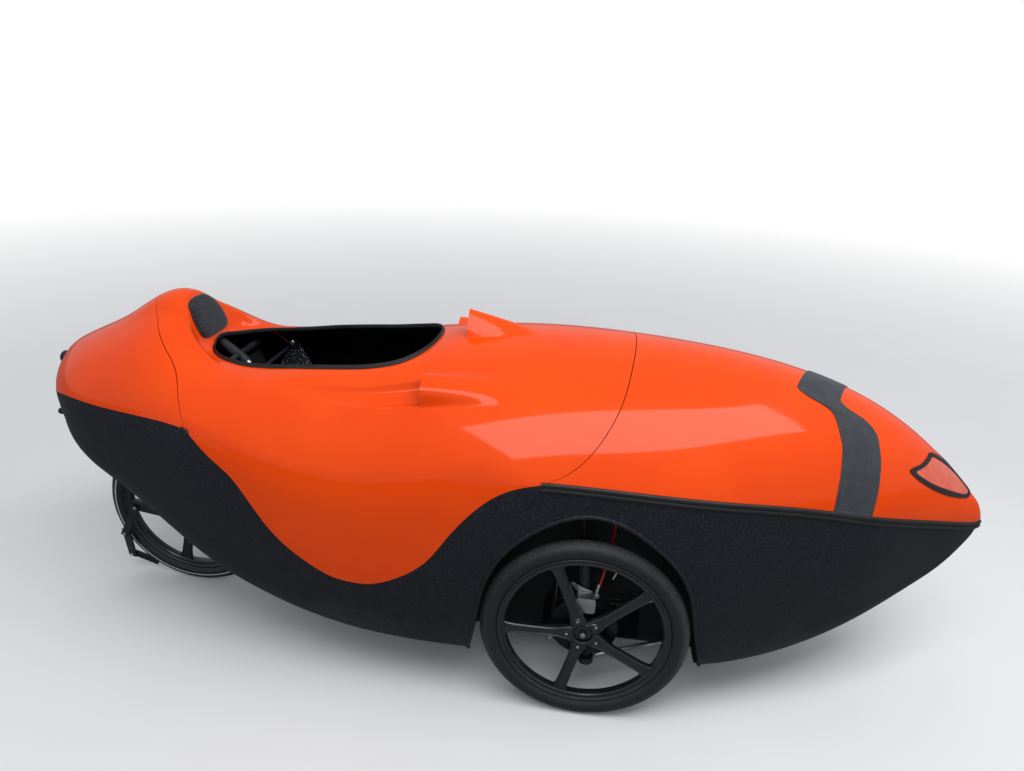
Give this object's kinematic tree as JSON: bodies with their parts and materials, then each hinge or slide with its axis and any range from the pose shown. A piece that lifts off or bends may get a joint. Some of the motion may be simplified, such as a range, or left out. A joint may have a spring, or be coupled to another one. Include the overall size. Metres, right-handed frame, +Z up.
{
  "type": "velomobile",
  "caption": "Fully faired recumbent pedal tricycle with an orange and black shell, open cockpit, steered front wheels and a rear wheel in the tail.",
  "frame": {"origin": "on the ground under the middle of the body's length, on the mid-plane", "axes": "+X forward toward the nose, +Y to the rider's left, +Z up"},
  "size_m": [2.448, 0.7638, 0.9039],
  "materials": {
    "orange_gelcoat": "gloss",
    "black_tub": "textured satin",
    "black_laminate": "matte",
    "cast_wheel": "satin",
    "tyre": "matte",
    "steel": "satin",
    "alloy": "satin",
    "black_metal": "satin",
    "rubber": "matte",
    "webbing": "woven",
    "lens": "gloss",
    "frame_grey": "satin",
    "red_hose": "gloss"
  },
  "bodies": {
    "chassis": {"tub": "black_tub", "middle_shell": "orange_gelcoat", "nose_cover": "orange_gelcoat", "wheel_well_left": "black_laminate", "wheel_well_right": "black_laminate", "rear_wheel_box": "black_laminate", "strut_top_left": "rubber", "strut_top_right": "rubber", "lower_arm_left": "black_metal", "lower_arm_right": "black_metal", "radius_rod_left": "alloy", "radius_rod_right": "alloy", "swingarm": "alloy", "seat": "black_laminate", "seat_bar": "rubber", "rim_trim": "rubber", "nose_strap": "webbing", "cockpit_lip": "rubber", "head_pad": "rubber", "lamp_frames": "frame_grey", "lamp_lenses": "lens", "tail_latch": "frame_grey"},
    "tail_lid": {"tail_cover": "orange_gelcoat", "tail_lamp": "frame_grey"},
    "track_link": {"track_rod": "black_metal"},
    "rear_roller": {"rear_wheel": "cast_wheel", "rear_tyre": "tyre"},
    "upright_left": {"knuckle_left": "black_metal", "caliper_left": "alloy", "brake_hose_left": "red_hose"},
    "front_roller_left": {"front_wheel_left": "cast_wheel", "front_tyre_left": "tyre", "brake_disc_left": "steel"},
    "upright_right": {"knuckle_right": "black_metal", "caliper_right": "alloy", "brake_hose_right": "red_hose"},
    "front_roller_right": {"front_wheel_right": "cast_wheel", "front_tyre_right": "tyre", "brake_disc_right": "steel"}
  },
  "joints": [
    {"name": "steer_right", "type": "hinge", "parent": "chassis", "child": "upright_right", "pos_m": [0.275, -0.292, 0.138], "axis": [-0.0895, 0.0706, 0.9935], "range_deg": [-22, 22]},
    {"name": "steer_left", "type": "hinge", "parent": "chassis", "child": "upright_left", "pos_m": [0.275, 0.292, 0.138], "axis": [-0.0895, -0.0706, 0.9935], "range_deg": [-22, 22]},
    {"name": "front_wheel_right_spin", "type": "hinge", "parent": "upright_right", "child": "front_roller_right", "pos_m": [0.262, -0.326, 0.245], "axis": [0, 1, 0], "continuous": true},
    {"name": "front_wheel_left_spin", "type": "hinge", "parent": "upright_left", "child": "front_roller_left", "pos_m": [0.262, 0.326, 0.245], "axis": [0, 1, 0], "continuous": true},
    {"name": "rear_wheel_spin", "type": "hinge", "parent": "chassis", "child": "rear_roller", "pos_m": [-0.877, 0, 0.245], "axis": [0, 1, 0], "continuous": true},
    {"name": "track_rod_slide", "type": "slide", "parent": "chassis", "child": "track_link", "axis": [0, 1, 0], "range_m": [-0.033, 0.033]},
    {"name": "tail_cover_lift", "type": "slide", "parent": "chassis", "child": "tail_lid", "axis": [-0.7682, 0, 0.6402], "range_m": [0, 0.35]}
  ],
  "couplings": [
    {"joint": "steer_left", "follows": "steer_right", "ratio": 1},
    {"joint": "track_rod_slide", "follows": "steer_right", "m_per_rad": -0.08345}
  ]
}
